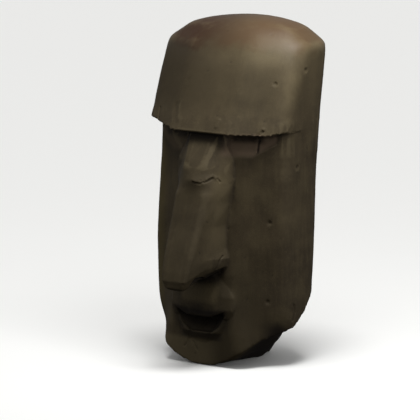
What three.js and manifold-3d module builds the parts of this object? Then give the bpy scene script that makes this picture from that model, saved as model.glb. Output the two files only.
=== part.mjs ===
// Moai head statue: one block of volcanic tuff, carved as a tall head with a heavy overhanging
// brow, sunk eyes, a long nose, an open mouth and a jaw line that climbs to the back, standing on
// its chin and a short recessed neck.
// Units are millimetres. +Z is up, the face looks along -Y and +X is the statue's own left.
// The origin is at the middle of the bounding box, on the ground.
import * as THREE from "three";
import { mergeVertices } from "three/addons/utils/BufferGeometryUtils.js";
import Module from "manifold-3d";

const wasm = await Module();
wasm.setup();

// ---------------------------------------------------------------- driving dimensions
// A plan section has a flat front, a slanting cheek, a side, a slanting rear and a flat back.
// front, cheek, rear, back: the y of the flat front, of the corner where the cheek meets the side,
// of the corner where the side ends, and of the flat back. flat, half, nape: half-widths of the
// flat front, of the whole section and of the flat back.
const FACE_PLANS = [
  { z: 0, front: -303, flat: 208, half: 350, cheek: -40, rear: 42, nape: 140, back: 215 },
  { z: 120, front: -305, flat: 204, half: 356, cheek: -74, rear: 48, nape: 144, back: 218 },
  { z: 231, front: -304, flat: 166, half: 362, cheek: -146, rear: 54, nape: 148, back: 222 },
  { z: 388, front: -298, flat: 136, half: 366, cheek: -162, rear: 62, nape: 150, back: 228 },
  { z: 543, front: -290, flat: 126, half: 368, cheek: -178, rear: 72, nape: 150, back: 234 },
  { z: 780, front: -280, flat: 118, half: 370, cheek: -186, rear: 78, nape: 150, back: 247 },
  { z: 993, front: -274, flat: 108, half: 374, cheek: -184, rear: 82, nape: 150, back: 262 },
];
// How far the statue's right temple is set back from the mirror of its left one.
const TEMPLE_SETBACK = [
  { z: 388, depth: 0 },
  { z: 543, depth: 5 },
  { z: 780, depth: 19 },
  { z: 993, depth: 31 },
];
const CAP_PLANS = [
  { z: 1040, front: -320, flat: 132, half: 377, cheek: -209, rear: 84, nape: 150, back: 266 },
  { z: 1250, front: -228, flat: 142, half: 376, cheek: -142, rear: 122, nape: 150, back: 286 },
  { z: 1425, front: -146, flat: 154, half: 375, cheek: -70, rear: 152, nape: 150, back: 304 },
];
const FOOT_PLAN = [
  { z: 0, front: -275, flat: 40, half: 112, cheek: -50, rear: 56, nape: 56, back: 150 },
];
const PLAN_KEYS = ["front", "flat", "half", "cheek", "rear", "nape", "back"];
const CORNER_CUTS = { front: 40, cheek: 56, rear: 76, back: 88 }; // where each round starts
const BACK_CUT_SHARE = 0.9; // the most of the flat back's half-width that its round may take
const CORNER_STEPS = 3;
const EDGE_STEPS = 4; // pieces of each straight stretch between two rounds
// Where the rings of the neck, the face and the cap run, as shares of the way up each.
const FACE_SHARES = [0, 0.05, 0.12, 0.2, 0.3, 0.42, 0.54, 0.66, 0.78, 0.9, 1];
const CAP_SHARES = [0, 0.12, 0.34, 0.56, 0.78, 0.93, 1];
const NECK_SHARES = [0, 0.5, 1];

// The jaw's lower edge: how it climbs across the chin, then along the sides to the back.
const CHIN_HALF = 192;
const CHIN_RISE = 66;
const CHIN_POWER = 2.4;
const JAW_CLIMB = [
  { y: -303, rise: 0 },
  { y: -260, rise: 32 },
  { y: -141, rise: 86 },
  { y: -19, rise: 165 },
  { y: 40, rise: 238 },
  { y: 220, rise: 290 },
];
// The jaw's underside runs in from its edge towards this point until it meets the neck, after a
// share of the way that is nothing under the chin and grows behind it.
const UNDERSIDE_MIDDLE = new THREE.Vector3(0, 20, 200);
const LEDGE = { chin: 0, behind: 0.23, from: -290, to: -60 };

// The brow's lower edge climbs at its ends, more on the statue's right, and dies out on the sides.
const BROW_Z = 1041;
const BROW_UNDERCUT = 8;
const BROW_HALF = 377;
const BROW_CLIMB = { right: { from: 150, rise: 36 }, left: { from: 310, rise: 14 } };
const BROW_FADE = { from: -120, to: 70, rise: 26, drop: 150 };
const RIM_Z = 1425;
const DOME_RINGS = [
  { z: 1456, share: 0.87 },
  { z: 1494, share: 0.735 },
  { z: 1515, share: 0.54 },
  { z: 1528, share: 0.3 },
];
const HEIGHT = 1534;
const DOME_MIDDLE_Y = 80;

// Nose: front is the ridge's y, ridge and flank the half-widths of the flat ridge and of the
// foot of the flank on the cheek. The bridge is narrower down to the old crack across it.
const NOSE_PLANS = [
  { z: 366, front: -498, ridge: 42, flank: 70 },
  { z: 378, front: -513, ridge: 55, flank: 84 },
  { z: 408, front: -517, ridge: 66, flank: 104 },
  { z: 450, front: -507, ridge: 71, flank: 130 },
  { z: 495, front: -492, ridge: 75, flank: 136 },
  { z: 540, front: -477, ridge: 78, flank: 124 },
  { z: 640, front: -438, ridge: 82, flank: 121 },
  { z: 740, front: -403, ridge: 85, flank: 139 },
  { z: 826, front: -380, ridge: 84, flank: 151 },
  { z: 840, front: -394, ridge: 61, flank: 153 },
  { z: 925, front: -346, ridge: 67, flank: 148 },
  { z: 1012, front: -292, ridge: 83, flank: 100 },
  { z: 1060, front: -266, ridge: 86, flank: 92 },
];
const NOSE_LIFT = { rise: 56, fadeFrom: 360, fadeTo: 480 }; // how the underside climbs to the cheek
const NOSE_MIDDLE = { share: 0.5, back: -5 }; // the ridge's slight crown
const NOSE_EDGE = { share: 0.88, back: 10 }; // the round between ridge and flank
const NOSE_FLANK = { across: 0.38, back: 0.44 }; // the flank's bend, as shares of its own run
const NOSE_ROOT = { share: 0.7, sunk: 4, depth: 60 }; // how it is let into the face
const NOSTRIL = [
  { z: 340, x: 60, y: -424, half: 25, long: 58 },
  { z: 410, x: 58, y: -420, half: 22, long: 52 },
  { z: 446, x: 56, y: -414, half: 12, long: 28 },
];
const NOSTRIL_SIDES = 12;

// Lips: each is a slab that stands out from the face, front its y, half the half-width of its
// flat front, slope how far its ends take to run back into the face.
const UPPER_LIP = [
  { z: 222, front: -335, half: 86, slope: 66 },
  { z: 262, front: -337, half: 98, slope: 76 },
  { z: 320, front: -332, half: 98, slope: 72 },
  { z: 375, front: -321, half: 78, slope: 50 },
  { z: 425, front: -306, half: 52, slope: 30 },
];
const LOWER_LIP = [
  { z: 108, front: -305, half: 52, slope: 20 },
  { z: 130, front: -313, half: 68, slope: 30 },
  { z: 156, front: -321, half: 82, slope: 36 },
  { z: 190, front: -319, half: 98, slope: 36 },
  { z: 236, front: -310, half: 110, slope: 34 },
];
const LIP_MIDDLE = { share: 0.45, back: -2 };
const LIP_EDGE_BACK = 5;
const LIP_END = { across: 0.4, back: 0.45 };
const LIP_ROOT = { share: 0.8, sunk: 3, depth: 50 };
// The open mouth, cut from corner to corner: its lower and upper edge at each x of the statue's
// left half. Its floor slopes in from the lower lip, so that it is deepest under the upper one.
const MOUTH = [
  { x: 0, low: 155, high: 227 },
  { x: 60, low: 155, high: 227 },
  { x: 101, low: 186, high: 242 },
  { x: 139, low: 255, high: 257 },
];
const MOUTH_FLOOR = { half: 140, lipY: -312, low: 14, high: 95 };

// Eye sockets, seen from the front below the brow, and how much deeper they get towards it. They
// grow shallow towards the temple.
const SOCKET = [
  { x: 108, z: 990 },
  { x: 137, z: 940 },
  { x: 226, z: 944 },
  { x: 334, z: 1010 },
];
const SOCKET_TOP_X = [338, 270, 210, 150, 100];
const SOCKET_DEPTH = { slope: 0.45, least: 0.12, from: 215, to: 300 };
const SOCKET_TOP_GAP = 1; // what is left of the brow's underside above each socket

const CUTTER_REACH = -700; // in front of everything that is carved
const SETTLE_PASSES = 4;
const WELD = 1e-3;

// ---------------------------------------------------------------- solids
function toSolid(geometry) {
  for (const name of Object.keys(geometry.attributes)) {
    if (name !== "position") geometry.deleteAttribute(name);
  }
  const merged = mergeVertices(geometry, WELD);
  return new wasm.Manifold(
    new wasm.Mesh({
      numProp: 3,
      vertProperties: new Float32Array(merged.attributes.position.array),
      triVerts: new Uint32Array(merged.index.array),
    }),
  );
}

function middle(ring) {
  return ring.reduce((sum, p) => sum.add(p), new THREE.Vector3()).divideScalar(ring.length);
}

// Skins a stack of rings, lowest first, each with the same number of corners running
// anticlockwise seen from above, and closes both ends with a fan to a middle point.
function loft(rings, topMiddle = middle(rings[rings.length - 1])) {
  const count = rings[0].length;
  const points = [...rings.flat(), middle(rings[0]), topMiddle];
  const faces = [];
  for (let k = 0; k + 1 < rings.length; k++) {
    for (let i = 0; i < count; i++) {
      const a = k * count + i;
      const b = k * count + ((i + 1) % count);
      faces.push(a, b, b + count, a, b + count, a + count);
    }
  }
  const last = (rings.length - 1) * count;
  for (let i = 0; i < count; i++) {
    const next = (i + 1) % count;
    faces.push(next, i, points.length - 2);
    faces.push(last + i, last + next, points.length - 1);
  }
  const geometry = new THREE.BufferGeometry().setFromPoints(points);
  geometry.setIndex(faces);
  return toSolid(geometry);
}

// The value of one size at height z, on a smooth curve through the plans.
function at(plans, key, z) {
  const last = plans.length - 1;
  const k = THREE.MathUtils.clamp(plans.findIndex((p) => z < p.z) - 1, 0, last - 1);
  if (z >= plans[last].z) return plans[last][key];
  if (z <= plans[0].z) return plans[0][key];
  const slope = (i) => {
    const low = plans[Math.max(0, i - 1)];
    const high = plans[Math.min(last, i + 1)];
    return (high[key] - low[key]) / (high.z - low.z);
  };
  const [low, high] = [plans[k], plans[k + 1]];
  const span = high.z - low.z;
  const t = (z - low.z) / span;
  const [t2, t3] = [t * t, t * t * t];
  return (
    (2 * t3 - 3 * t2 + 1) * low[key] +
    (t3 - 2 * t2 + t) * span * slope(k) +
    (3 * t2 - 2 * t3) * high[key] +
    (t3 - t2) * span * slope(k + 1)
  );
}

// The plan section at height z: a closed ring of corners, the same number at every height.
// setback takes the right temple, seen by the statue, that much in and back.
function section(plans, z, setback = 0) {
  const [front, flat, half, cheek, rear, nape, back] = PLAN_KEYS.map((key) => at(plans, key, z));
  const side = [
    { x: flat, y: front, cut: CORNER_CUTS.front },
    { x: half, y: cheek, cut: CORNER_CUTS.cheek },
    { x: half, y: rear, cut: CORNER_CUTS.rear },
    { x: nape, y: back, cut: Math.min(CORNER_CUTS.back, nape * BACK_CUT_SHARE) },
  ];
  const mirrored = side.map((c) => ({ ...c, x: -c.x })).reverse();
  const temple = mirrored[2];
  temple.x += setback;
  temple.y += setback;
  const rounds = [...side, ...mirrored].map((corner, i, all) => {
    const here = new THREE.Vector2(corner.x, corner.y);
    const towards = (other) =>
      new THREE.Vector2(other.x, other.y).sub(here).setLength(corner.cut).add(here);
    const before = towards(all[(i + all.length - 1) % all.length]);
    const after = towards(all[(i + 1) % all.length]);
    return new THREE.QuadraticBezierCurve(before, here, after).getPoints(CORNER_STEPS);
  });
  const ring = rounds.flatMap((round, i) => {
    const from = round[CORNER_STEPS];
    const to = rounds[(i + 1) % rounds.length][0];
    const edge = Array.from({ length: EDGE_STEPS - 1 }, (_, j) =>
      new THREE.Vector2().lerpVectors(from, to, (j + 1) / EDGE_STEPS),
    );
    return [...round, ...edge];
  });
  return ring.map((p) => new THREE.Vector3(p.x, p.y, z));
}

// A ring whose height differs from corner to corner: height(point) says where each one goes.
function curvedRing(plans, z, height, setback = () => 0) {
  let ring = section(plans, z, setback(z));
  for (let pass = 0; pass < SETTLE_PASSES; pass++) {
    ring = ring.map((p, i) => section(plans, height(p), setback(height(p)))[i]);
  }
  return ring;
}

// ---------------------------------------------------------------- edges
function jawClimb(y) {
  const last = JAW_CLIMB.length - 1;
  if (y <= JAW_CLIMB[0].y) return JAW_CLIMB[0].rise;
  if (y >= JAW_CLIMB[last].y) return JAW_CLIMB[last].rise;
  const k = JAW_CLIMB.findIndex((p) => y < p.y);
  const [low, high] = [JAW_CLIMB[k - 1], JAW_CLIMB[k]];
  return THREE.MathUtils.mapLinear(y, low.y, high.y, low.rise, high.rise);
}

function jawEdge(p) {
  const across = Math.min(1, Math.abs(p.x) / CHIN_HALF);
  return CHIN_RISE * across ** CHIN_POWER + jawClimb(p.y);
}

// The brow's edge, and the line where its underside meets the face. On the sides the first
// rises and the second drops, so that the ledge fades into the side of the head.
function browEdge(p) {
  const { from, rise } = p.x < 0 ? BROW_CLIMB.right : BROW_CLIMB.left;
  const end = THREE.MathUtils.smoothstep(Math.abs(p.x), from, BROW_HALF);
  const side = THREE.MathUtils.smoothstep(p.y, BROW_FADE.from, BROW_FADE.to);
  return BROW_Z + rise * end + BROW_FADE.rise * side;
}

function browRoot(p) {
  const side = THREE.MathUtils.smoothstep(p.y, BROW_FADE.from, BROW_FADE.to);
  return browEdge(p) + THREE.MathUtils.lerp(BROW_UNDERCUT, -BROW_FADE.rise - BROW_FADE.drop, side);
}

// ---------------------------------------------------------------- forms
// The rings of the neck: it flares in a round from its foot to where it meets the underside.
function neckRings() {
  const { lerp, smoothstep } = THREE.MathUtils;
  const foot = section(FOOT_PLAN, 0);
  const root = curvedRing(FACE_PLANS, 0, jawEdge).map((p) => {
    const behind = smoothstep(p.y, LEDGE.from, LEDGE.to);
    return p.lerp(UNDERSIDE_MIDDLE, lerp(LEDGE.chin, LEDGE.behind, behind));
  });
  return NECK_SHARES.map((share) => {
    const flare = Math.sin((share * Math.PI) / 2);
    return foot.map((p, i) => p.clone().lerp(root[i], flare).setZ(share * root[i].z));
  });
}

function block() {
  const rings = neckRings();
  for (const share of FACE_SHARES) {
    const height = (p) => THREE.MathUtils.lerp(jawEdge(p), browRoot(p), share);
    const setback = (z) => at(TEMPLE_SETBACK, "depth", z);
    rings.push(curvedRing(FACE_PLANS, share * BROW_Z, height, setback));
  }
  for (const share of CAP_SHARES) {
    const height = (p) => THREE.MathUtils.lerp(browEdge(p), RIM_Z, share);
    rings.push(curvedRing(CAP_PLANS, BROW_Z, height));
  }
  const rim = rings[rings.length - 1];
  for (const { z, share } of DOME_RINGS) {
    const towardsMiddle = (y) => THREE.MathUtils.lerp(DOME_MIDDLE_Y, y, share);
    rings.push(rim.map((p) => new THREE.Vector3(p.x * share, towardsMiddle(p.y), z)));
  }
  return loft(rings, new THREE.Vector3(0, DOME_MIDDLE_Y, HEIGHT));
}

// A ring of corners given for the statue's left, then mirrored for its right.
function bothSides(left) {
  const right = left.map((p) => new THREE.Vector3(-p.x, p.y, p.z));
  return [...left, ...right.reverse()];
}

function nose() {
  const { lerp, clamp, smoothstep } = THREE.MathUtils;
  const rings = NOSE_PLANS.map(({ z, front, ridge, flank }) => {
    const face = at(FACE_PLANS, "front", z) + NOSE_ROOT.sunk;
    const edgeY = front + NOSE_EDGE.back;
    const corners = [
      new THREE.Vector3(ridge * NOSE_MIDDLE.share, front + NOSE_MIDDLE.back, z),
      new THREE.Vector3(ridge * NOSE_EDGE.share, front, z),
      new THREE.Vector3(ridge, edgeY, z),
      new THREE.Vector3(
        lerp(ridge, flank, NOSE_FLANK.across),
        lerp(edgeY, face, NOSE_FLANK.back),
        z,
      ),
      new THREE.Vector3(flank, face, z),
      new THREE.Vector3(flank * NOSE_ROOT.share, face + NOSE_ROOT.depth, z),
    ];
    const lift = NOSE_LIFT.rise * (1 - smoothstep(z, NOSE_LIFT.fadeFrom, NOSE_LIFT.fadeTo));
    return bothSides(corners).map((p) => {
      return p.setZ(z + lift * clamp((p.y - front) / (face - front), 0, 1));
    });
  });
  return loft(rings);
}

function nostril(side) {
  const rings = NOSTRIL.map(({ z, x, y, half, long }) =>
    Array.from({ length: NOSTRIL_SIDES }, (_, i) => {
      const turn = (2 * Math.PI * i) / NOSTRIL_SIDES;
      return new THREE.Vector3(side * x + half * Math.cos(turn), y + long * Math.sin(turn), z);
    }),
  );
  return loft(rings);
}

function lip(levels) {
  const { lerp } = THREE.MathUtils;
  const rings = levels.map(({ z, front, half, slope }) => {
    const face = at(FACE_PLANS, "front", z) + LIP_ROOT.sunk;
    return bothSides([
      new THREE.Vector3(half * LIP_MIDDLE.share, front + LIP_MIDDLE.back, z),
      new THREE.Vector3(half, front + LIP_EDGE_BACK, z),
      new THREE.Vector3(half + slope * LIP_END.across, lerp(front, face, LIP_END.back), z),
      new THREE.Vector3(half + slope, face, z),
      new THREE.Vector3(half * LIP_ROOT.share, face + LIP_ROOT.depth, z),
    ]);
  });
  return loft(rings);
}

// Runs an outline seen from the front straight through, from back(point) to in front of the face.
function cutter(outline, back) {
  const ring = (depth) => outline.map((p) => new THREE.Vector3(p.x, depth(p), p.z));
  return loft([ring(back), ring(() => CUTTER_REACH)]);
}

function mouth() {
  const { half, lipY, low, high } = MOUTH_FLOOR;
  const right = MOUTH.slice(1).map((edge) => ({ ...edge, x: -edge.x }));
  const rings = [...right.reverse(), ...MOUTH].map((edge) => {
    const depth = 1 - (edge.x / half) ** 2;
    return [
      new THREE.Vector3(edge.x, CUTTER_REACH, edge.low),
      new THREE.Vector3(edge.x, lipY + low * depth, edge.low),
      new THREE.Vector3(edge.x, lipY + high * depth, edge.high),
      new THREE.Vector3(edge.x, CUTTER_REACH, edge.high),
    ];
  });
  return loft(rings);
}

// side is 1 for the statue's left eye and -1 for its right.
function socket(side) {
  const faceY = (x, z) => {
    const [front, flat, half, cheek] = PLAN_KEYS.map((key) => at(FACE_PLANS, key, z));
    return THREE.MathUtils.mapLinear(x, flat, half, front, cheek);
  };
  const topZ = (x) => browEdge({ x: x * side, y: faceY(x, BROW_Z) }) - SOCKET_TOP_GAP;
  const top = SOCKET_TOP_X.map((x) => ({ x, z: topZ(x) }));
  const outline = [...SOCKET, ...top].map((p) => ({ x: p.x * side, z: p.z }));
  if (side < 0) outline.reverse();
  const floorZ = SOCKET[1].z;
  const { slope, least, from, to } = SOCKET_DEPTH;
  return cutter(outline, (p) => {
    const outer = THREE.MathUtils.smoothstep(Math.abs(p.x), from, to);
    const share = THREE.MathUtils.lerp(1, least, outer);
    return faceY(Math.abs(p.x), p.z) + share * slope * Math.max(0, p.z - floorZ);
  });
}

const head = block()
  .subtract(socket(1))
  .subtract(socket(-1))
  .add(nose().subtract(nostril(1)).subtract(nostril(-1)))
  .add(lip(UPPER_LIP))
  .add(lip(LOWER_LIP))
  .subtract(mouth());

// Puts the origin under the middle of the bounding box.
function settled(solid) {
  const { min, max } = solid.boundingBox();
  return solid.translate([-(min[0] + max[0]) / 2, -(min[1] + max[1]) / 2, -min[2]]);
}

// ---------------------------------------------------------------- scene
const STONE_COLOUR = 0x5a4f3b;
const STONE_ROUGHNESS = 0.85;
const stone = new THREE.MeshStandardMaterial({
  color: STONE_COLOUR,
  roughness: STONE_ROUGHNESS,
  metalness: 0,
});

function toMesh(solid, name, material) {
  const made = solid.getMesh();
  const geometry = new THREE.BufferGeometry();
  geometry.setAttribute("position", new THREE.BufferAttribute(made.vertProperties, 3));
  geometry.setIndex(new THREE.BufferAttribute(made.triVerts, 1));
  geometry.computeVertexNormals();
  const mesh = new THREE.Mesh(geometry, material);
  mesh.name = name;
  return mesh;
}

const statue = new THREE.Group();
statue.add(toMesh(settled(head), "moai_head", stone));
export default statue;
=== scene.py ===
# %% [markdown]
# # A moai head
# A moai is a monument carved from one block of volcanic tuff, a stone of pressed ash with coarse
# grains in it. It has no joints and no separate parts. What makes it look like stone is its
# surface: edges that wind and rain have rounded, pits where grains fell out, a few old cracks,
# and a skin of weathering that is reddish on the crown and dark wherever rain doesn't reach.
#
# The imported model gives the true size, outline and main forms. This lesson takes a copy of it,
# makes that copy fine enough to carve, weathers it with Geometry Nodes and paints it with one
# procedural stone.

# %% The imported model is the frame
import math

import bmesh
import bpy
import numpy as np
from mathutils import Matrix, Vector
from mathutils.bvhtree import BVHTree
from mathutils.kdtree import KDTree


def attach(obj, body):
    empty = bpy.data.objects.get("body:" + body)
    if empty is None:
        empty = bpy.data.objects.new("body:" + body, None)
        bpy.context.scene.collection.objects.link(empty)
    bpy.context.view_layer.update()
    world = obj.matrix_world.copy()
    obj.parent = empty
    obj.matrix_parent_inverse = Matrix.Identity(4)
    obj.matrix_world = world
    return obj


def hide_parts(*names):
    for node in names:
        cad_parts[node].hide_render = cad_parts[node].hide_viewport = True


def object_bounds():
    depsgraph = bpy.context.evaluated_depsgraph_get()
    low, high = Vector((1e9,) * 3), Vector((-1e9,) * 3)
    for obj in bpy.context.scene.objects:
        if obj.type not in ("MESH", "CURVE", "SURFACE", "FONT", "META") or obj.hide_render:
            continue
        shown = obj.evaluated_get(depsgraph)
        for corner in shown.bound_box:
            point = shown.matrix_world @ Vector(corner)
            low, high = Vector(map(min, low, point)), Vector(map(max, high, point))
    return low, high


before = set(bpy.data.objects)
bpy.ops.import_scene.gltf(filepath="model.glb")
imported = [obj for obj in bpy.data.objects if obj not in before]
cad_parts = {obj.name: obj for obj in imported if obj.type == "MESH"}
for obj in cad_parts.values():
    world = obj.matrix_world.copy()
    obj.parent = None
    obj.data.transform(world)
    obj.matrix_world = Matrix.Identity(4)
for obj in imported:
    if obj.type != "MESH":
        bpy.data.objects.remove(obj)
cad_low, cad_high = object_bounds()
cad_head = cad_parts["moai_head"]
width, depth, height = cad_high - cad_low
print(f"the head is {width:.3f} m wide, {depth:.3f} m deep and {height:.3f} m tall")

# %% [markdown]
# ## Small helpers
# The notes for this statue are in millimetres and Blender works in metres, so one function
# turns one into the other. Colours are sRGB hex values, the way a painter picks them from a
# screen, and one function turns them into the linear values that shaders need. One more
# function adds a node to any tree, with its settings and its inputs in one call. The last one
# works out a share from 0 to 1, which both the carving and the paint use to say where on the
# head, and how much, something happens.


# %% Helpers for sizes, colours and nodes
def mm(*values):
    metres = [value / 1000 for value in values]
    return metres[0] if len(metres) == 1 else Vector(metres)


def colour(hex_code):
    """An sRGB hex colour as linear red, green, blue and alpha."""
    shares = [int(hex_code[i : i + 2], 16) / 255 for i in (1, 3, 5)]
    linear = [s / 12.92 if s <= 0.04045 else ((s + 0.055) / 1.055) ** 2.4 for s in shares]
    return [*linear, 1.0]


def add(tree, kind, settings=None, inputs=None):
    """Adds a node. inputs maps a socket's name or number to a value or to a socket to link."""
    node = tree.nodes.new(kind)
    for key, value in (settings or {}).items():
        setattr(node, key, value)
    for key, value in (inputs or {}).items():
        if isinstance(value, bpy.types.NodeSocket):
            tree.links.new(value, node.inputs[key])
        else:
            node.inputs[key].default_value = value
    return node


MATH, VECTOR_MATH = "ShaderNodeMath", "ShaderNodeVectorMath"
PLUS, MINUS = {"operation": "ADD"}, {"operation": "SUBTRACT"}
TIMES, OVER = {"operation": "MULTIPLY"}, {"operation": "DIVIDE"}
TIMES_PLUS = {"operation": "MULTIPLY_ADD"}
LARGER, SIZE_ONLY = {"operation": "MAXIMUM"}, {"operation": "ABSOLUTE"}


def share(tree, *parts):
    """All parts multiplied. A part is a share, a number, or a limit: a value, where it starts to
    count and where it counts in full, with a smooth step between, upwards or downwards."""
    total = None
    for part in parts:
        if isinstance(part, tuple):
            value, start, full = part
            limit = add(
                tree,
                "ShaderNodeMapRange",
                {"interpolation_type": "SMOOTHSTEP"},
                {"Value": value, "From Min": start, "From Max": full},
            )
            part = limit.outputs["Result"]
        if total is None:
            total = part
        else:
            total = add(tree, MATH, TIMES, {0: total, 1: part}).outputs[0]
    return total


print("amber as linear colour:", [round(c, 3) for c in colour("#ffbf00")])

# %% [markdown]
# ## The camera
# The statue is seen from its left front, a little from above, through a long lens: from far
# away the sides of a tall thing stay nearly upright. The camera isn't aimed at the statue's
# middle but a little beside it, as the composition wants it, so its place is worked out from
# the chin: the distance follows from the lens and from how large the chin should appear.

# %% Camera
AZIMUTH, ELEVATION = math.radians(36), math.radians(9.5)
LENS_ANGLE = math.radians(7)
CHIN = mm(0, -191, 0)
CHIN_OFFSET = mm(-35, -688)  # from the middle of the view: right is positive, and so is up
VIEW_WIDTH = mm(1869)  # what the view takes in at the chin

toward_camera = Vector(
    (
        math.sin(AZIMUTH) * math.cos(ELEVATION),
        -math.cos(AZIMUTH) * math.cos(ELEVATION),
        math.sin(ELEVATION),
    )
)
view_right = Vector((math.cos(AZIMUTH), math.sin(AZIMUTH), 0))
view_up = toward_camera.cross(view_right)
distance = VIEW_WIDTH / 2 / math.tan(LENS_ANGLE / 2)
view_middle = CHIN - view_right * CHIN_OFFSET[0] - view_up * CHIN_OFFSET[1]

camera_data = bpy.data.cameras.new("camera")
camera_data.sensor_width = 36
camera_data.angle = LENS_ANGLE
camera_data.clip_end = 200
camera = bpy.data.objects.new("camera", camera_data)
camera.location = view_middle + toward_camera * distance
camera.rotation_euler = toward_camera.to_track_quat("Z", "Y").to_euler()
bpy.context.scene.collection.objects.link(camera)
bpy.context.scene.camera = camera
print(f"the camera stands {distance:.2f} m away, with a {camera_data.lens:.0f} mm lens")

# %% [markdown]
# ## A block fine enough to carve
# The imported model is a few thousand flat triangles. Stone has no such facets, and a crack needs
# faces smaller than itself. A voxel remesh turns any closed shape into an even skin of small
# quads, like modelling clay: it forgets the old triangles and keeps the form. It is even all
# over, so only the places with sharp or fine carving are subdivided after it.

# %% Voxel remesh of a copy
VOXEL = mm(11)
SAME_PLACE = mm(0.01)


def evaluated_mesh(thing, name):
    """The thing with its modifiers worked out, as a new plain mesh."""
    graph = bpy.context.evaluated_depsgraph_get()
    mesh = bpy.data.meshes.new_from_object(thing.evaluated_get(graph))
    mesh.name = name
    return mesh


def linked_object(name, mesh):
    thing = bpy.data.objects.new(name, mesh)
    bpy.context.scene.collection.objects.link(thing)
    return thing


def merged_copy(name):
    """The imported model's loose triangles, joined into one skin."""
    shell = bmesh.new()
    shell.from_mesh(cad_head.data)
    bmesh.ops.remove_doubles(shell, verts=shell.verts, dist=SAME_PLACE)
    mesh = bpy.data.meshes.new(name)
    shell.to_mesh(mesh)
    shell.free()
    return linked_object(name, mesh)


true_form = merged_copy("true_form")
stone = linked_object("moai_stone", true_form.data.copy())
remesh = stone.modifiers.new("voxels", "REMESH")
remesh.mode = "VOXEL"
remesh.voxel_size = VOXEL
fine = evaluated_mesh(stone, "moai_stone")
stone.modifiers.clear()
stone.data = fine
print("faces after the voxel remesh:", len(stone.data.polygons))

# %% [markdown]
# ## Crisp edges
# Voxels round every edge. On this statue the brow, the eyes, the mouth, the nostrils and the
# jaw have edges that are still sharp, and the model knows them: they are its edges where two
# faces meet at a steep angle, below the top of the brow. Around the lips and the nostrils even
# blunt edges count. The old step in the nose is worn soft, so its edges are left out. Faces
# near the others are subdivided, and then every place of the skin moves to the nearest place
# on the true form.

# %% Subdivide near the sharp edges
SHARP, SHARP_AT_THE_MOUTH = math.radians(38), math.radians(14)
SHARP_BELOW = 0.73 * height
NOSE_STEP_LOW, NOSE_STEP_HIGH, NOSE_HALF = mm(800), mm(890), mm(125)
MOUTH_LOW, MOUTH_HIGH = mm(-170, -450, 90), mm(170, -165, 520)
SHARP_STEP = mm(6)
EDGE_REACHES = (mm(14), mm(6))


def at_the_mouth(place):
    return all(low < c < high for low, c, high in zip(MOUTH_LOW, place, MOUTH_HIGH))


def sharp_places(thing):
    """Places every few millimetres along the steep edges, without the underside's rim."""
    shell = bmesh.new()
    shell.from_mesh(thing.data)
    places = []
    for edge in shell.edges:
        low, high = (v.co for v in edge.verts)
        least = SHARP_AT_THE_MOUTH if at_the_mouth(low) and at_the_mouth(high) else SHARP
        if not edge.is_manifold or edge.calc_face_angle() < least:
            continue
        if not mm(1) < max(low.z, high.z) < SHARP_BELOW:
            continue
        if abs(low.x) < NOSE_HALF and NOSE_STEP_LOW < low.z < NOSE_STEP_HIGH:
            continue
        count = max(1, round((high - low).length / SHARP_STEP))
        places += [low.lerp(high, i / count) for i in range(count + 1)]
    shell.free()
    return places


def search_tree(places):
    tree = KDTree(len(places))
    for index, place in enumerate(places):
        tree.insert(place, index)
    tree.balance()
    return tree


def refine(thing, tree, reach):
    work = bmesh.new()
    work.from_mesh(thing.data)
    near = [f for f in work.faces if tree.find(f.calc_center_median())[2] < reach]
    edges = {edge for face in near for edge in face.edges}
    bmesh.ops.subdivide_edges(work, edges=list(edges), cuts=1, use_grid_fill=True)
    work.to_mesh(thing.data)
    work.free()


edge_tree = search_tree(sharp_places(true_form))
for reach in EDGE_REACHES:
    refine(stone, edge_tree, reach)

wrap = stone.modifiers.new("true_form", "SHRINKWRAP")
wrap.target = true_form
wrap.wrap_method = "NEAREST_SURFACEPOINT"
fine = evaluated_mesh(stone, "moai_stone")
stone.modifiers.clear()
stone.data = fine
print("faces after refining the sharp edges:", len(stone.data.polygons))

# %% [markdown]
# ## Where the stone is cracked and chipped
# Cracks are noted the way a restorer notes them: as lines across the stone, seen straight from
# the front or straight from its left side. A ray shot at the stone finds how deep each point
# lies, so a crack follows the surface whatever its shape. Creases are wider and softer than
# cracks, and chips and pits are noted in the same way, as short lines and single points.

# %% Cracks, chips and pits as notes
surface = BVHTree.FromObject(stone, bpy.context.evaluated_depsgraph_get())
FAR_AWAY = 2000


def seen_from_front(x, z):
    hit = surface.ray_cast(mm(x, -FAR_AWAY, z), Vector((0, 1, 0)))
    return hit[0]


def seen_from_left(y, z):
    hit = surface.ray_cast(mm(FAR_AWAY, y, z), Vector((-1, 0, 0)))
    return hit[0]


CRACKS = {
    "across_the_nose": (
        seen_from_front,
        [(18, 835), (34, 833), (52, 830), (62, 838), (71, 836), (86, 852)],
    ),
    "nose_to_cheek": (seen_from_front, [(104, 848), (112, 836)]),
    "chin_left": (seen_from_front, [(-63, 114), (-41, 94), (-24, 68)]),
    "chin_right": (seen_from_front, [(-63, 114), (-80, 94), (-94, 76)]),
    "brow_end": (seen_from_front, [(-291, 1124), (-289, 1094), (-284, 1066)]),
    "under_the_brow": (seen_from_front, [(286, 1062), (262, 1040), (240, 1004), (243, 970)]),
    "jaw_corner": (seen_from_left, [(2, 281), (11, 248), (3, 213)]),
    "nose_wing": (seen_from_front, [(124, 505), (120, 483), (113, 456), (98, 430)]),
}
CREASES = {
    "beside_the_nose": (seen_from_front, [(147, 915), (149, 821), (146, 730), (141, 672)]),
    "left_forehead": (seen_from_front, [(-173, 1147), (-160, 1105), (-146, 1076)]),
}
CHIPS = {
    "nose_chip": (seen_from_front, [(73, 850), (88, 862), (104, 848)]),
    "brow_chip": (seen_from_front, [(79, 1076), (86, 1104)]),
    "brow_end_chip": (seen_from_front, [(286, 1074)]),
}
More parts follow.
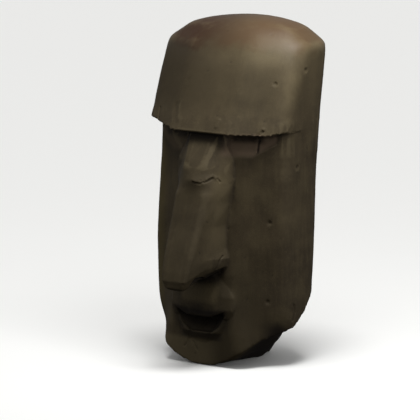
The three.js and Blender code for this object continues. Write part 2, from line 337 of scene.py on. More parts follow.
PITS = {
    "cheek_pit": (seen_from_front, [(302, 657)]),
    "jaw_pit": (seen_from_front, [(290, 302)]),
    "forehead_pit": (seen_from_front, [(298, 1267)]),
    "temple_pit": (seen_from_left, [(68, 1322)]),
    "side_pit": (seen_from_left, [(10, 898)]),
}
STEP = mm(4)


def traced(view, points):
    """The line through the points, laid on the stone, with a place every few millimetres."""
    places = []
    for (a0, b0), (a1, b1) in zip(points, points[1:]):
        count = max(1, round(mm(math.dist((a0, b0), (a1, b1))) / STEP))
        for i in range(count):
            places.append(view(a0 + (a1 - a0) * i / count, b0 + (b1 - b0) * i / count))
    return [*places, view(*points[-1])]


def marks_object(name, notes):
    """All the lines of one kind as a mesh of edges, or of single points."""
    places, edges = [], []
    for view, points in notes.values():
        line = [p for p in traced(view, points) if p is not None]
        edges += [(len(places) + i, len(places) + i + 1) for i in range(len(line) - 1)]
        places += line
    mesh = bpy.data.meshes.new(name)
    mesh.from_pydata(places, edges, [])
    return linked_object(name, mesh)


cracks = marks_object("crack_lines", CRACKS)
creases = marks_object("crease_lines", CREASES)
chips = marks_object("chip_lines", CHIPS)
pits = marks_object("pit_points", PITS)
print("places along the cracks:", len(cracks.data.vertices))

# %% [markdown]
# ## Finer faces where there is fine carving
# A crack a few millimetres wide needs faces of two or three millimetres. Faces near a mark are
# subdivided twice, each time within a smaller reach, so that the mesh grows finer step by step.

# %% Subdivide near the marks
MARK_REACHES = (mm(17), mm(9))
mark_tree = search_tree([v.co.copy() for m in (cracks, chips, pits) for v in m.data.vertices])
for reach in MARK_REACHES:
    refine(stone, mark_tree, reach)
print("faces after refining near the marks:", len(stone.data.polygons))

# %% [markdown]
# ## Weathering with Geometry Nodes
# Rain and wind take most from edges, so the first step blurs the positions of the mesh: that
# wears edges down and leaves flat places alone. Then noise moves the skin in and out along its
# normal: a slow swell left by the carvers' stone picks, the coarse grain of the tuff, and pits
# scattered with a fixed seed where grains fell out. Cracks and chips use the distance to the
# marks. Last, two measures are kept for the paint: how hollow each place is, and how well it
# is sheltered from above, where the paint lays its shade.

# %% A tree with named inputs
weather = bpy.data.node_groups.new("weathered_stone", "GeometryNodeTree")
weather.is_modifier = True
weather.interface.new_socket("Geometry", in_out="INPUT", socket_type="NodeSocketGeometry")
TREE_INPUTS = {
    "Rounding": ("NodeSocketInt", 45),
    "Swell size": ("NodeSocketFloat", mm(240)),
    "Swell depth": ("NodeSocketFloat", mm(5)),
    "Grain size": ("NodeSocketFloat", mm(38)),
    "Grain depth": ("NodeSocketFloat", mm(1.6)),
    "Pit spacing": ("NodeSocketFloat", mm(95)),
    "Pit radius": ("NodeSocketFloat", mm(9)),
    "Pit depth": ("NodeSocketFloat", mm(4)),
    "Crack width": ("NodeSocketFloat", mm(9)),
    "Crack depth": ("NodeSocketFloat", mm(4)),
    "Crease width": ("NodeSocketFloat", mm(26)),
    "Crease depth": ("NodeSocketFloat", mm(2.5)),
    "Chip width": ("NodeSocketFloat", mm(13)),
    "Chip height": ("NodeSocketFloat", mm(3)),
    "Seed": ("NodeSocketInt", 7),
    "Cracks": ("NodeSocketObject", None),
    "Creases": ("NodeSocketObject", None),
    "Chips": ("NodeSocketObject", None),
    "Pits": ("NodeSocketObject", None),
    "Stone": ("NodeSocketMaterial", None),
}
for name, (kind, value) in TREE_INPUTS.items():
    socket = weather.interface.new_socket(name, in_out="INPUT", socket_type=kind)
    if value is not None:
        socket.default_value = value
weather.interface.new_socket("Geometry", in_out="OUTPUT", socket_type="NodeSocketGeometry")
given = add(weather, "NodeGroupInput").outputs
print("inputs of the tree:", ", ".join(TREE_INPUTS))

# %% What every place of the stone knows
position = add(weather, "GeometryNodeInputPosition").outputs[0]
normal = add(weather, "GeometryNodeInputNormal").outputs[0]
x, y, z = add(weather, "ShaderNodeSeparateXYZ", None, {0: position}).outputs
x_aside = add(weather, MATH, SIZE_ONLY, {0: x}).outputs[0]
print("nodes so far:", len(weather.nodes))

# %% [markdown]
# ### Which places stay crisp
# How much a place is blurred is a share of the full blur. The brow's lower edge and the features
# of the face keep almost all their sharpness. The front of the crown, which the weather reaches
# most, and the old worn step in the nose get nearly the full blur, and all the rest a little.

# %% Rounded edges
EYE_LEVEL, BROW_LEVEL = 0.60 * height, 0.73 * height
FACE_HALF = 0.22 * width
WORN_LITTLE, WORN_MORE, CRISP_KEEPS = 0.08, 0.85, 0.97

brow_band = share(
    weather, (z, EYE_LEVEL, EYE_LEVEL + mm(40)), (z, BROW_LEVEL, BROW_LEVEL - mm(20))
)
beside_the_lip = share(
    weather, (x_aside, mm(75), mm(105)), (z, mm(265), mm(300)), (z, mm(420), mm(385))
)
features = share(
    weather,
    (x_aside, FACE_HALF + mm(60), FACE_HALF),
    (y, mm(-60), mm(-120)),
    (z, BROW_LEVEL, BROW_LEVEL - mm(30)),
    add(weather, MATH, MINUS, {0: 1.0, 1: beside_the_lip}).outputs[0],
)
nose_step = share(
    weather, (x_aside, mm(125), mm(105)), (z, mm(780), mm(815)), (z, mm(900), mm(865))
)
cut_deep = add(weather, MATH, LARGER, {0: features, 1: brow_band}).outputs[0]
crisp = add(weather, MATH, {**MINUS, "use_clamp": True}, {0: cut_deep, 1: nose_step}).outputs[0]
crown_front = share(
    weather,
    (z, 0.84 * height, 0.90 * height),
    (x, mm(-160), mm(-40)),
    (y, mm(90), mm(20)),
)
worn_most = add(weather, MATH, LARGER, {0: crown_front, 1: nose_step}).outputs[0]
softness = share(
    weather,
    add(weather, MATH, TIMES_PLUS, {0: worn_most, 1: WORN_MORE, 2: WORN_LITTLE}).outputs[0],
    add(weather, MATH, TIMES_PLUS, {0: crisp, 1: -CRISP_KEEPS, 2: 1.0}).outputs[0],
)
blurred = add(
    weather,
    "GeometryNodeBlurAttribute",
    {"data_type": "FLOAT_VECTOR"},
    {"Value": position, "Iterations": given["Rounding"], "Weight": softness},
)
rounded = add(
    weather,
    "GeometryNodeSetPosition",
    None,
    {"Geometry": given["Geometry"], "Position": blurred.outputs["Value"]},
)
print(f"crisp between {EYE_LEVEL:.2f} m and {BROW_LEVEL:.2f} m; nodes:", len(weather.nodes))

# %% [markdown]
# ### Swell and grain
# Two noises of very different size. Both are centred on zero, so the stone keeps its volume.


# %% Noise along the normal
def lumps(size, depth, detail=2.0, roughness=0.5, offset=(0, 0, 0)):
    """Noise with lumps of about that size, from half of depth below zero to half above."""
    moved = add(weather, VECTOR_MATH, PLUS, {0: position, 1: offset})
    made = add(
        weather,
        "ShaderNodeTexNoise",
        None,
        {
            "Vector": moved.outputs[0],
            "Scale": add(weather, MATH, OVER, {0: 1.0, 1: size}).outputs[0],
            "Detail": detail,
            "Roughness": roughness,
        },
    )
    centred = add(weather, MATH, MINUS, {0: made.outputs[0], 1: 0.5}).outputs[0]
    return share(weather, centred, depth)


GRAIN_DETAIL, GRAIN_ROUGHNESS, GRAIN_OFFSET = 4.0, 0.6, (3.1, 0.7, 5.3)
swell = lumps(given["Swell size"], given["Swell depth"])
grain = lumps(
    given["Grain size"], given["Grain depth"], GRAIN_DETAIL, GRAIN_ROUGHNESS, GRAIN_OFFSET
)
print("nodes with both noises:", len(weather.nodes))

# %% [markdown]
# ### Pits, cracks and chips
# Points scattered over the skin with a fixed seed become pits: each place on the stone asks for
# the nearest point and sinks if it is close. Cracks ask the same of their lines, and a noise
# makes them wander between wide and narrow. A chip stands up instead, as the sharp rim that is
# left where a flake broke off beside a crack.


# %% Distances to the marks
def nearness(target, radius, element="POINTS"):
    """1 on the marks, 0 at the radius and beyond, smooth between."""
    found = add(
        weather, "GeometryNodeProximity", {"target_element": element}, {"Geometry": target}
    )
    return share(weather, (found.outputs["Distance"], radius, 0.0))


marks = {}
for name in ("Cracks", "Creases", "Chips", "Pits"):
    source = add(
        weather, "GeometryNodeObjectInfo", {"transform_space": "ORIGINAL"}, {"Object": given[name]}
    )
    marks[name] = source.outputs["Geometry"]
scattered = add(
    weather,
    "GeometryNodeDistributePointsOnFaces",
    {"distribute_method": "POISSON"},
    {
        "Mesh": rounded.outputs["Geometry"],
        "Distance Min": given["Pit spacing"],
        "Density Max": 60.0,
        "Seed": given["Seed"],
    },
)
print("kinds of marks:", ", ".join(marks))

# %% How far each place rises or sinks
SMALL_PIT, LARGE_PIT = 0.5, 1.3  # their depths, in parts of the pit depth
LARGE_PIT_RADIUS = 1.7  # in parts of the pit radius
WANDER_SIZE, WANDER, WANDER_DETAIL = mm(60), 1.6, 3.0
GROUND_MARGIN = mm(30)  # below this the stone keeps its place, so that it stands flat

small_pits = nearness(scattered.outputs["Points"], given["Pit radius"])
large_pits = nearness(marks["Pits"], share(weather, given["Pit radius"], LARGE_PIT_RADIUS))
uneven = lumps(WANDER_SIZE, WANDER, WANDER_DETAIL)
wander = add(weather, MATH, PLUS, {0: uneven, 1: 1.0}).outputs[0]
crack_width = share(weather, given["Crack width"], wander)
crack_lines = nearness(marks["Cracks"], crack_width, "EDGES")
crease_lines = nearness(marks["Creases"], given["Crease width"], "EDGES")
chips_near = nearness(marks["Chips"], given["Chip width"])

rises = [grain, share(weather, chips_near, given["Chip height"])]
drops = [
    share(weather, small_pits, SMALL_PIT, given["Pit depth"]),
    share(weather, large_pits, LARGE_PIT, given["Pit depth"]),
    share(weather, crease_lines, given["Crease depth"]),
    share(weather, crack_lines, given["Crack depth"], wander),
]
offset = swell
for operation, amounts in ((PLUS, rises), (MINUS, drops)):
    for amount in amounts:
        offset = add(weather, MATH, operation, {0: offset, 1: amount}).outputs[0]
offset = share(weather, offset, (z, 0.0, GROUND_MARGIN))
move = add(weather, VECTOR_MATH, {"operation": "SCALE"}, {0: normal, "Scale": offset})
carved = add(
    weather,
    "GeometryNodeSetPosition",
    None,
    {"Geometry": rounded.outputs["Geometry"], "Offset": move.outputs[0]},
)
print("things that raise or sink the skin:", 1 + len(rises) + len(drops))

# %% [markdown]
# ### Keep to the true size
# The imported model's box is the real size, so nothing may stand out of it. Clamping each
# position to the box costs one pair of nodes and also keeps the underside flat.

# %% Clamp to the box
lowest = add(weather, VECTOR_MATH, LARGER, {0: position, 1: cad_low})
held = add(
    weather, VECTOR_MATH, {"operation": "MINIMUM"}, {0: lowest.outputs[0], 1: cad_high}
)
fitted = add(
    weather,
    "GeometryNodeSetPosition",
    None,
    {"Geometry": carved.outputs["Geometry"], "Position": held.outputs[0]},
)
print("the box is clamped from", list(cad_low), "to", list(cad_high))

# %% [markdown]
# ### What the paint will need
# A place is hollow if its surroundings, blurred, lie in front of it along its normal. It is
# sheltered if rays shot up and outward from it hit the statue itself: the paint lays nearly
# black painted shade on those places.

# %% How hollow each place is
HOLLOW_STEPS, HOLLOW_DEPTH = 3, mm(1.5)
spread = add(
    weather,
    "GeometryNodeBlurAttribute",
    {"data_type": "FLOAT_VECTOR"},
    {"Value": position, "Iterations": HOLLOW_STEPS},
)
away = add(weather, VECTOR_MATH, MINUS, {0: spread.outputs["Value"], 1: position})
along = add(weather, VECTOR_MATH, {"operation": "DOT_PRODUCT"}, {0: away.outputs[0], 1: normal})
hollow = add(weather, MATH, OVER, {0: along.outputs["Value"], 1: HOLLOW_DEPTH}).outputs[0]
print(f"a place {HOLLOW_DEPTH * 1000:.1f} mm deep counts as fully hollow")

# %% How well each place is sheltered
RAIN_LIFT, RAIN_REACH = mm(6), mm(450)  # where the rays start above the skin, and their length
RAIN_TURNS, RAIN_SLOPES = 8, (0.5, 1.4)
SHELTER_STEPS = 4
rain = [Vector((0, 0, 1))]
for turn in range(RAIN_TURNS):
    angle = math.tau * turn / RAIN_TURNS
    for slope in RAIN_SLOPES:
        rain.append(Vector((slope * math.cos(angle), slope * math.sin(angle), 1)).normalized())

lift = add(weather, VECTOR_MATH, {"operation": "SCALE"}, {0: normal, "Scale": RAIN_LIFT})
start = add(weather, VECTOR_MATH, PLUS, {0: position, 1: lift.outputs[0]})
stopped = 0.0
for way in rain:
    ray = add(
        weather,
        "GeometryNodeRaycast",
        None,
        {
            "Target Geometry": fitted.outputs["Geometry"],
            "Source Position": start.outputs[0],
            "Ray Direction": way,
            "Ray Length": RAIN_REACH,
        },
    )
    stopped = add(weather, MATH, PLUS, {0: stopped, 1: ray.outputs["Is Hit"]}).outputs[0]
sheltered = add(weather, MATH, OVER, {0: stopped, 1: len(rain)}).outputs[0]
shelter = add(
    weather,
    "GeometryNodeBlurAttribute",
    {"data_type": "FLOAT"},
    {"Value": sheltered, "Iterations": SHELTER_STEPS},
)
print("rays for each place:", len(rain))

# %% [markdown]
# ### The end of the tree
# The two measures are stored on the points, where a shader can read them by name. Then the
# skin is shaded smooth. Realize Instances and Set Material come last, because only real
# geometry with its own material leaves the file.

# %% Store, realize, paint
geometry = fitted.outputs["Geometry"]
for name, value in {"shelter": shelter.outputs["Value"], "hollow": hollow}.items():
    stored = add(
        weather,
        "GeometryNodeStoreNamedAttribute",
        {"data_type": "FLOAT", "domain": "POINT"},
        {"Geometry": geometry, "Name": name, "Value": value},
    )
    geometry = stored.outputs["Geometry"]
smooth = add(weather, "GeometryNodeSetShadeSmooth", None, {"Geometry": geometry})
real = add(weather, "GeometryNodeRealizeInstances", None, {"Geometry": smooth.outputs["Geometry"]})
painted = add(
    weather,
    "GeometryNodeSetMaterial",
    None,
    {"Geometry": real.outputs["Geometry"], "Material": given["Stone"]},
)
add(weather, "NodeGroupOutput", None, {"Geometry": painted.outputs["Geometry"]})
print("nodes in the weathering tree:", len(weather.nodes))

# %% [markdown]
# ## Weathered volcanic tuff
# Tuff is dull and grainy. Fresh, it is yellow-brown; centuries of weather turn it dark
# olive-brown, with a reddish skin on the crown that sun and rain reach most, dark water streaks
# down the cheeks, and paler stone on the worn edges. Over this lie painted light and shade: a
# darker, redder painted shade on the crown's right, nearly black painted shade in the mouth and
# under the brow and the jaw, and painted highlights on the crown's left corner and the nose's
# ridge. It is rough, but a weathered crown keeps a low sheen.

# %% The stone's colours
STONE_TONES = {
    "base": "#443a28",
    # pale patches and grains, and also painted light on the upper head, the nose's left flank and
    # the upper lip
    "light": "#5c5139",
    # the stone's dark patches and streaks, and painted shade on the upper head's right side
    "dark": "#352c1d",
    # painted shade: on the forehead, the lower face, the nose's front and beside the nose
    "painted_shade": "#2c2412",
    "crown": "#48341f",
    # darker and redder: painted shade on the crown's right
    "shaded_crown": "#301a08",
    "ochre": "#5b4f2a",
    # nearly black: painted shade where the stone is covered, and the dark of small hollows and the
    # eye's seam
    "grime_and_shade": "#120b05",
    # reddish and pale: the eyes' own colour, and painted light on their shadowed floors
    "socket": "#665645",
    # pale: worn edges, and also painted light on the chin and painted highlights on the crown's
    # corner and above the nose's crack
    "edge": "#665b43",
}
tones = {name: colour(code) for name, code in STONE_TONES.items()}
tuff = bpy.data.materials.new("weathered_volcanic_tuff")
tuff.use_nodes = True
paint = tuff.node_tree
shader = paint.nodes["Principled BSDF"]

object_place = add(paint, "ShaderNodeTexCoord").outputs["Object"]
across, forth, up = add(paint, "ShaderNodeSeparateXYZ", None, {0: object_place}).outputs
aside = add(paint, MATH, SIZE_ONLY, {0: across}).outputs[0]
shelter_kept = add(paint, "ShaderNodeAttribute", {"attribute_name": "shelter"}).outputs["Fac"]
hollow_kept = add(paint, "ShaderNodeAttribute", {"attribute_name": "hollow"}).outputs["Fac"]


def spots(size, detail=3.0, stretch=(1, 1, 1), roughness=0.55, shift=(0, 0, 0)):
    """Noise with spots of about that size in metres, longer where stretch is more than 1."""
    scale = [1 / (size * s) for s in stretch]
    mapped = add(
        paint,
        "ShaderNodeMapping",
        None,
        {"Vector": object_place, "Location": shift, "Scale": scale},
    )
    made = add(
        paint,
        "ShaderNodeTexNoise",
        None,
        {"Vector": mapped.outputs[0], "Scale": 1.0, "Detail": detail, "Roughness": roughness},
    )
    return made.outputs[0]


def coat(under, name, *parts):
    """The colour under, with a tone painted over it by the share of its parts."""
    mixed = add(
        paint,
        "ShaderNodeMix",
        {"data_type": "RGBA"},
        {"Factor": share(paint, *parts), "A": under, "B": tones[name]},
    )
    return mixed.outputs["Result"]


print("materials:", tuff.name)

# %% [markdown]
# ### Coat over coat
# The colour is built coat over coat: the weather's coats, and coats of painted light and shade.
# First comes the stone's own uneven tone: large dark and pale patches, fine upright brushing
# from the rain, water streaks and grains. The upper head is painted paler than the face, as
# painted light from above.

# %% The stone's own tone
upper_head = share(paint, (up, 0.60 * height, 0.94 * height))
brushed = share(paint, (spots(mm(16), 3.0, (1, 1, 9), shift=(2, 3, 0)), 0.35, 0.7))
pale = share(paint, (spots(mm(120), 5.0, shift=(4, 1, 2)), 0.4, 0.7), 0.35)
pale_or_brushed = add(paint, MATH, TIMES_PLUS, {0: brushed, 1: 0.12, 2: pale}).outputs[0]
streaks = spots(mm(30), 3.0, (1, 1, 12), shift=(0, 3, 0))
grains = spots(mm(9), 2.0, shift=(1, 1, 7))

tone = coat(tones["dark"], "base", (spots(mm(260), 4.0), 0.35, 0.65))
tone = coat(tone, "light", pale_or_brushed)
# painted light: the upper head paler, as if lit from above
tone = coat(tone, "light", upper_head, 0.42)
tone = coat(tone, "dark", (streaks, 0.5, 0.8), 0.25)
tone = coat(tone, "light", (grains, 0.5, 0.75), 0.2)
print("nodes in the stone's own tone:", len(paint.nodes))

# %% [markdown]
# ### Crown and forehead
# The reddish skin ends along an uneven line below the crown. The right side is painted darker
# as shade, on the forehead and, darker and redder, on the crown. A band of painted shade lies
# across the forehead below the crown, and the crown's left corner has a painted highlight.

# %% Crown and forehead
crown_edge = add(
    paint, MATH, TIMES_PLUS, {0: spots(mm(120), 4.0), 1: mm(160), 2: mm(-80)}
).outputs[0]
uneven_up = add(paint, MATH, PLUS, {0: up, 1: crown_edge}).outputs[0]
crown = share(paint, (uneven_up, 0.90 * height, 0.95 * height))

tone = coat(tone, "crown", crown, 0.85)
# painted shade on the right side of the upper head
tone = coat(tone, "dark", upper_head, (across, 0.25 * width, -0.30 * width))
tone = coat(  # painted shade across the forehead below the crown
    tone,
    "painted_shade",
    (up, 0.90 * height, 0.84 * height),
    (up, 0.72 * height, 0.78 * height),
    (across, 0.50 * width, 0.36 * width),
    (forth, mm(60), mm(0)),
    0.45,
)
tone = coat(  # a painted highlight on the crown's left corner
    tone,
    "edge",
    (up, 0.86 * height, 0.90 * height),
    (up, 0.97 * height, 0.94 * height),
    (across, 0.12 * width, 0.26 * width),
    (across, 0.47 * width, 0.38 * width),
    0.27,
)
# painted shade, darker and redder, on the crown's right
tone = coat(tone, "shaded_crown", crown, (across, 0.10 * width, -0.25 * width), 0.85)
print("nodes with the crown:", len(paint.nodes))

# %% [markdown]
# ### The face
# The lower face is painted darker towards the bottom as shade, most of all on its left, and the
# chin's right is painted paler as light. The nose's front is painted darker as shade and its
# left flank paler as light, and the right cheek has a skin of ochre dust. A coat without a limit
# from front to back runs right through the stone: the nose's painted shade also leaves a dark
# band down the back, and the cheek's covers the right side below the brow.

# %% The face
more_on_the_left = add(
    paint,
    MATH,
    TIMES_PLUS,
    {0: share(paint, (across, -0.12 * width, 0.10 * width)), 1: 0.65, 2: 0.15},
).outputs[0]
tone = coat(  # painted shade, darker towards the bottom of the face
    tone,
    "painted_shade",
    (up, 0.42 * height, 0.12 * height),
    (across, 0.45 * width, 0.3 * width),
    more_on_the_left,
)
tone = coat(  # painted light on the chin's right
    tone,
    "edge",
    (up, mm(135), mm(105)),
    (forth, mm(-120), mm(-180)),
    (across, 0.16 * width, -0.02 * width),
    0.6,
)
tone = coat(  # painted shade on the nose's front
    tone,
    "painted_shade",
    (across, 0.18 * width, 0.07 * width),
    (across, -0.24 * width, -0.14 * width),
    (up, 0.25 * height, 0.27 * height),
    (up, 0.68 * height, 0.66 * height),
    0.5,
)
tone = coat(  # painted light on the nose's left flank
    tone,
    "light",
    (across, 0.11 * width, 0.15 * width),
    (forth, mm(-165), mm(-195)),
    (up, 0.31 * height, 0.38 * height),
    (up, 0.60 * height, 0.54 * height),
    0.55,
)
tone = coat(  # the right cheek
    tone,
    "ochre",
    (across, -0.30 * width, -0.42 * width),
    (up, 0.70 * height, 0.60 * height),
    0.6,
)
print("nodes with the face:", len(paint.nodes))

# %% [markdown]
# ### The eyes
# The floors of the sockets are reddish, and where the brow covers them they are painted paler
# as light, most on the left eye. They rise towards the temples, so their lower limit rises too,
# with the distance from the middle of the face.

# %% Eye sockets
SOCKET_TURNS_UP, SOCKET_RISE = 0.3 * width, 0.6
SOCKET_FLOOR = 0.608 * height

past_the_turn = add(paint, MATH, MINUS, {0: aside, 1: SOCKET_TURNS_UP}).outputs[0]
past_the_turn = add(paint, MATH, LARGER, {0: past_the_turn, 1: 0.0}).outputs[0]
outer_rise = share(paint, past_the_turn, SOCKET_RISE)
above_the_rise = add(paint, MATH, MINUS, {0: up, 1: outer_rise}).outputs[0]
at_eyes = share(
    paint,
    (above_the_rise, SOCKET_FLOOR, SOCKET_FLOOR + 0.02 * height),
    (up, 0.69 * height, 0.68 * height),
    (aside, 0.46 * width, 0.42 * width),
    (aside, 0.11 * width, 0.16 * width),
    (forth, mm(30), mm(-20)),
)
left_eye_most = add(
    paint,
    MATH,
    TIMES_PLUS,
    {0: share(paint, (across, -0.2 * width, 0.1 * width)), 1: 0.8, 2: 0.2},
).outputs[0]
# the sockets' reddish colour, painted paler as light where the brow covers them
tone = coat(tone, "socket", at_eyes, left_eye_most, (shelter_kept, 0.2, 0.5))
print(f"the sockets' floors lie at {SOCKET_FLOOR:.2f} m")

# %% [markdown]
# ### Painted shade where the stone is covered from above
# Nearly black painted shade lies wherever a place is well sheltered from above, but little of it
# on the eyes' floors, under the nose and on the chin. It is thickest in the mouth, under the jaw
# and in the wedge right under the brow, where it stands for the brow's shadow. That last coat
# has no limit from front to back, so it also leaves two dark upright patches high on the back.
# A limit on forth would keep it in front.

# %% Painted shade
SHELTER_SHADE_MOST = 0.85

under_the_nose = share(paint, (up, mm(280), mm(310)), (up, mm(400), mm(365)), 0.8)
on_the_chin = share(paint, (up, mm(150), mm(125)), (forth, mm(-120), mm(-180)))
bare = at_eyes
for place in (under_the_nose, on_the_chin):
    bare = add(paint, MATH, LARGER, {0: bare, 1: place}).outputs[0]
not_bare = add(paint, MATH, TIMES_PLUS, {0: bare, 1: -SHELTER_SHADE_MOST, 2: SHELTER_SHADE_MOST}).outputs[0]
# painted shade where the stone is covered from above
tone = coat(tone, "grime_and_shade", (shelter_kept, 0.5, 0.98), not_bare)
tone = coat(  # painted shade in the mouth
    tone,
    "grime_and_shade",
    (aside, 0.20 * width, 0.18 * width),
    (forth, mm(-170), mm(-230)),
    (up, mm(140), mm(185)),
    (up, mm(275), mm(250)),
    (shelter_kept, 0.15, 0.6),
    0.9,
)
tone = coat(  # painted shade under the jaw
    tone,
    "grime_and_shade",
    (up, 0.17 * height, 0.11 * height),
    (forth, mm(-130), mm(-60)),
    (shelter_kept, 0.5, 0.6),
    0.9,
)
tone = coat(  # painted shadow in the wedge under the brow
    tone,
    "grime_and_shade",
    (aside, 0.14 * width, 0.18 * width),
    (aside, 0.38 * width, 0.33 * width),
    (up, 0.648 * height, 0.662 * height),
    (shelter_kept, 0.3, 0.6),
    0.65,
)
print("nodes with the crust:", len(paint.nodes))

# %% [markdown]
# ### Fold, seam and lips
# A soft fold of painted shade runs down beside the nose, and a dark seam crosses the left eye.
# The upper lip is painted paler as light than the painted shade above it, and a painted shadow
# lies under the lower lip. The fold's coat runs through to the back as well, where it leaves
# two small patches.

# %% Fold, seam and lips
EYE_SEAM = mm(246)
tone = coat(  # painted shade in the fold beside the nose
    tone,
    "painted_shade",
    (aside, 0.22 * width, 0.19 * width),
    (aside, 0.11 * width, 0.15 * width),
    (up, mm(290), mm(325)),
    (up, mm(425), mm(400)),
    0.7,
)
from_the_seam = add(paint, MATH, MINUS, {0: across, 1: EYE_SEAM}).outputs[0]
from_the_seam = add(paint, MATH, SIZE_ONLY, {0: from_the_seam}).outputs[0]
tone = coat(tone, "grime_and_shade", (from_the_seam, mm(9), mm(2)), (up, mm(952), mm(966)), at_eyes, 0.8)
tone = coat(  # painted light on the upper lip
    tone,
    "light",
    (aside, 0.15 * width, 0.10 * width),
    (forth, mm(-150), mm(-200)),
    (up, mm(270), mm(310)),
    (up, mm(385), mm(350)),
    0.6,
)
tone = coat(  # painted shadow under the lower lip
    tone,
    "grime_and_shade",
    (aside, 0.17 * width, 0.12 * width),
    (forth, mm(-150), mm(-200)),
    (up, mm(108), mm(130)),
    (up, mm(156), mm(148)),
    0.6,
)
print("nodes with the lips:", len(paint.nodes))

# %% [markdown]
# ### Hollows and worn edges
# Every small hollow is darker. Edges are rubbed pale, and above the height of the nose's crack
# they get a painted highlight as well, like the bright ridge of the nose.

# %% Hollows and worn edges
above_the_crack = share(paint, (up, 0.54 * height, 0.56 * height))
wear_and_ridge_highlight = add(paint, MATH, TIMES_PLUS, {0: above_the_crack, 1: 0.25, 2: 0.08}).outputs[0]
# darker in small hollows
tone = coat(tone, "grime_and_shade", (hollow_kept, 0.15, 0.9), 0.35)
# worn edges, paler still above the nose's crack as a painted highlight
tone = coat(tone, "edge", (hollow_kept, -0.12, -0.6), wear_and_ridge_highlight)
print("nodes in the colour:", len(paint.nodes))

# %% [markdown]
# ### Grain and sheen
# The finest grain is a bump: grains of about 5 mm, drawn coarser than sand because finer ones
# wouldn't show from where the statue is seen. The crown is smoother than the rest, so that the
# light above it leaves a soft bright place.

# %% Surface of the stone
ROUGH_STONE, SMOOTH_CROWN = 0.74, 0.5
bump = add(
    paint,
    "ShaderNodeBump",
    None,
    {"Height": spots(mm(5), 4.0, roughness=0.65), "Strength": 0.25, "Distance": mm(3)},
)
rough = add(
    paint,
    "ShaderNodeMapRange",
    None,
    {
        "Value": share(paint, (up, 0.85 * height, 0.93 * height)),
        "To Min": ROUGH_STONE,
        "To Max": SMOOTH_CROWN,
    },
)
paint.links.new(tone, shader.inputs["Base Color"])
paint.links.new(rough.outputs["Result"], shader.inputs["Roughness"])
paint.links.new(bump.outputs["Normal"], shader.inputs["Normal"])
shader.inputs["IOR"].default_value = 1.5
shader.inputs["Specular IOR Level"].default_value = 0.25
shader.inputs["Metallic"].default_value = 0.0
print("nodes in the stone's material:", len(paint.nodes))

# %% [markdown]
# ## Carving done
# The tree's inputs are set through the sockets' identifiers. The result becomes a plain mesh,
# the modifier goes, and the lines that marked cracks and chips are no longer needed.

# %% Run the tree
modifier = stone.modifiers.new("weathering", "NODES")
modifier.node_group = weather
identifiers = {
    item.name: item.identifier for item in weather.interface.items_tree if item.in_out == "INPUT"
}
lines_and_stone = {
    "Cracks": cracks,
    "Creases": creases,
    "Chips": chips,
    "Pits": pits,
    "Stone": tuff,
}
for name, value in lines_and_stone.items():
    modifier[identifiers[name]] = value
finished = evaluated_mesh(stone, "moai_stone")
stone.modifiers.clear()
stone.data = finished
for helper in (cracks, creases, chips, pits, true_form):
    bpy.data.objects.remove(helper)
triangles = sum(len(p.vertices) - 2 for p in stone.data.polygons)
print("triangles in the finished stone:", triangles)
shelter = np.zeros(len(stone.data.vertices))
stone.data.attributes["shelter"].data.foreach_get("value", shelter)
print(f"sheltered share of the skin: {np.mean(shelter > 0.5):.2f}")

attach(stone, "root")
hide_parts("moai_head")

# %% [markdown]
# ## A pale floor and soft light
# The floor is a wide pale disc. It is kept from throwing light back up at the stone, so that
# the eyes, the mouth and the jaw stay as dark as they are out of doors on dark ground. One soft
# light hangs close above the crown's left front: its reflection is the bright place there, and
# because it is so near, the light fades down the face. A wide light stands level with the
# statue on its left and lights that side. The sun, high and soft, lights the floor and all that
# looks up, and the pale sky fills the rest.

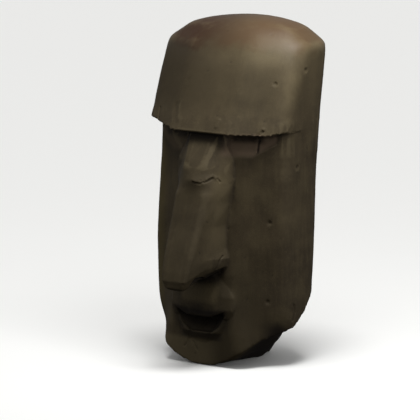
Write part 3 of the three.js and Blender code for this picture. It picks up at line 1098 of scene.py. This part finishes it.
# %% Floor
FLOOR_RADIUS = 80.0
FLOOR_SIDES = 96
ring = [
    (FLOOR_RADIUS * math.cos(turn), FLOOR_RADIUS * math.sin(turn), 0)
    for turn in (math.tau * i / FLOOR_SIDES for i in range(FLOOR_SIDES))
]
floor_mesh = bpy.data.meshes.new("floor")
floor_mesh.from_pydata(ring, [], [range(FLOOR_SIDES)])
floor = linked_object("floor", floor_mesh)
floor.visible_diffuse = False
floor.visible_glossy = False
plaster = bpy.data.materials.new("pale_plaster")
plaster.use_nodes = True
plaster_shader = plaster.node_tree.nodes["Principled BSDF"]
plaster_shader.inputs["Base Color"].default_value = colour("#f6f6f4")
plaster_shader.inputs["Roughness"].default_value = 0.9
floor_mesh.materials.append(plaster)
print("sides of the floor's disc:", FLOOR_SIDES)


# %% Lights
def bearing(azimuth, elevation):
    """The way to a light, in degrees to the statue's left of its front, and up."""
    turn, rise = math.radians(azimuth), math.radians(elevation)
    return Vector(
        (math.sin(turn) * math.cos(rise), -math.cos(turn) * math.cos(rise), math.sin(rise))
    )


def light(name, kind, power, target, out, distance):
    """A light at that distance from its target, along out, turned towards it."""
    data = bpy.data.lights.new(name, kind)
    data.energy = power
    lamp = linked_object(name, data)
    lamp.location = target + out * distance
    lamp.rotation_euler = out.to_track_quat("Z", "Y").to_euler()
    return data


CROWN_CORNER, STATUE_MIDDLE = mm(250, 10, 1430), mm(0, 0, 800)
key = light("key", "AREA", 20, CROWN_CORNER, bearing(45, 62), distance=1.05)
key.size = 0.8
left_fill = light("left_fill", "AREA", 120, STATUE_MIDDLE, bearing(90, 4), distance=8.0)
left_fill.size = 3.0
sun = light("sun", "SUN", 1.6, Vector(), bearing(30, 80), distance=10)
sun.angle = math.radians(25)
print("lights:", key.name, left_fill.name, sun.name)

# %% Sky
SKY, GROUND = 0.45, 0.03  # how bright each is, with a soft change at the horizon
world = bpy.data.worlds.new("pale_sky")
world.use_nodes = True
air = world.node_tree
direction = add(air, "ShaderNodeTexCoord").outputs["Generated"]
upward = add(air, "ShaderNodeSeparateXYZ", None, {0: direction}).outputs["Z"]
strength = add(
    air,
    "ShaderNodeMapRange",
    {"interpolation_type": "SMOOTHSTEP"},
    {"Value": upward, "From Min": -0.2, "From Max": 0.1, "To Min": GROUND, "To Max": SKY},
)
air.links.new(strength.outputs["Result"], air.nodes["Background"].inputs["Strength"])
air.nodes["Background"].inputs["Color"].default_value = colour("#f4f4f4")
bpy.context.scene.world = world
bpy.context.scene.view_settings.view_transform = "Standard"
print("sky:", world.name)
